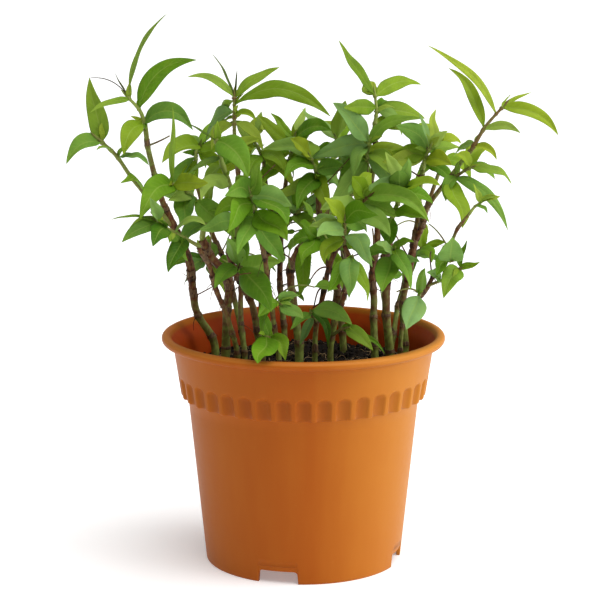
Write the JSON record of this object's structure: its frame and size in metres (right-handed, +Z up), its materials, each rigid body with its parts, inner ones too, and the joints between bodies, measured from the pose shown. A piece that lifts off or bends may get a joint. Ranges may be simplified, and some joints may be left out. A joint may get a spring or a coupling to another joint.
{
  "type": "potted vietnamese coriander",
  "caption": "Leafy Vietnamese coriander plant with knotty stems and pointed leaves, growing in a round tapered plastic nursery pot with a fluted band.",
  "frame": {"origin": "on the ground under the middle of the whole plant's and pot's bounding box", "axes": "+Z up, -Y towards the front of the plant, +X to its right"},
  "size_m": [0.267, 0.179, 0.311],
  "materials": {
    "pot_plastic": "satin moulded orange-brown plastic",
    "soil": "matt dark peat, moist and crumbly",
    "stem": "satin green and brown stem, dark at the nodes",
    "leaf": "satin green leaf"
  },
  "bodies": {
    "root": {"pot": "pot_plastic", "soil": "soil", "stem_01": "stem", "stem_02": "stem", "stem_03": "stem", "stem_04": "stem", "stem_05": "stem", "stem_06": "stem", "stem_07": "stem", "stem_08": "stem", "stem_09": "stem", "stem_10": "stem", "stem_11": "stem", "stem_12": "stem", "stem_13": "stem", "stem_14": "stem", "stem_15": "stem", "stem_16": "stem", "stem_17": "stem", "stem_18": "stem", "stem_19": "stem", "stem_20": "stem", "sprig_01": "leaf", "sprig_02": "leaf", "sprig_03": "leaf", "sprig_04": "leaf", "sprig_05": "leaf", "sprig_06": "leaf", "sprig_07": "leaf", "sprig_08": "leaf", "sprig_09": "leaf", "sprig_10": "leaf", "sprig_11": "leaf", "sprig_12": "leaf", "sprig_13": "leaf", "sprig_14": "leaf", "sprig_15": "leaf", "sprig_16": "leaf", "sprig_17": "leaf", "sprig_18": "leaf", "sprig_19": "leaf", "sprig_20": "leaf", "sprig_21": "leaf", "sprig_22": "leaf", "sprig_23": "leaf", "sprig_24": "leaf", "sprig_25": "leaf", "sprig_26": "leaf", "sprig_27": "leaf", "sprig_28": "leaf", "sprig_29": "leaf", "sprig_30": "leaf", "sprig_31": "leaf", "sprig_32": "leaf", "sprig_33": "leaf", "sprig_34": "leaf", "sprig_35": "leaf", "sprig_36": "leaf"}
  },
  "joints": []
}
